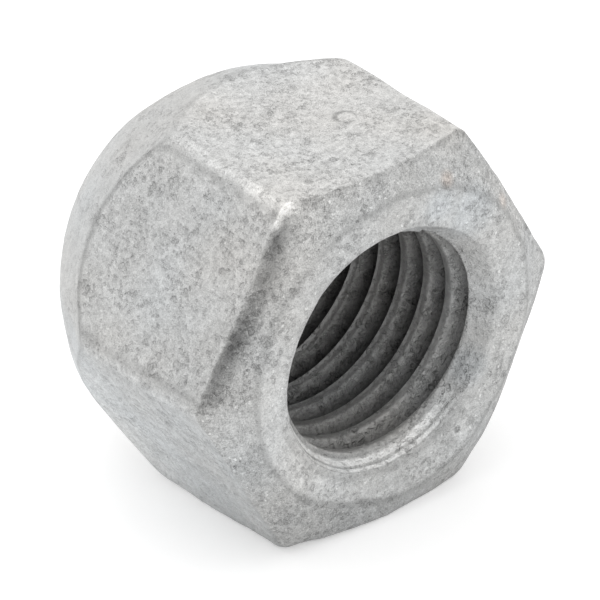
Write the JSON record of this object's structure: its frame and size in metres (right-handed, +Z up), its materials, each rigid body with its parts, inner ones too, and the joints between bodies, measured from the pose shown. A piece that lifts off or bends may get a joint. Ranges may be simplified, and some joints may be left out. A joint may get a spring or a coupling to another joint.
{
  "type": "lug nut",
  "caption": "Open-end hexagon wheel nut with a ball seat: a chamfered flat end, a rounded seat end and a threaded through hole.",
  "frame": {"origin": "on the bore's axis, half way along the nut, which is also the centre of the seat's ball", "axes": "+Y along the bore axis towards the ball seat, +Z up from the hexagon flat that the nut lies on"},
  "size_m": [0.0206, 0.015, 0.018],
  "materials": {
    "zinc_coated_steel": "matt pale grey zinc coating over a forged surface, slightly rough and mottled"
  },
  "bodies": {
    "root": {"nut": "zinc_coated_steel"}
  },
  "joints": []
}
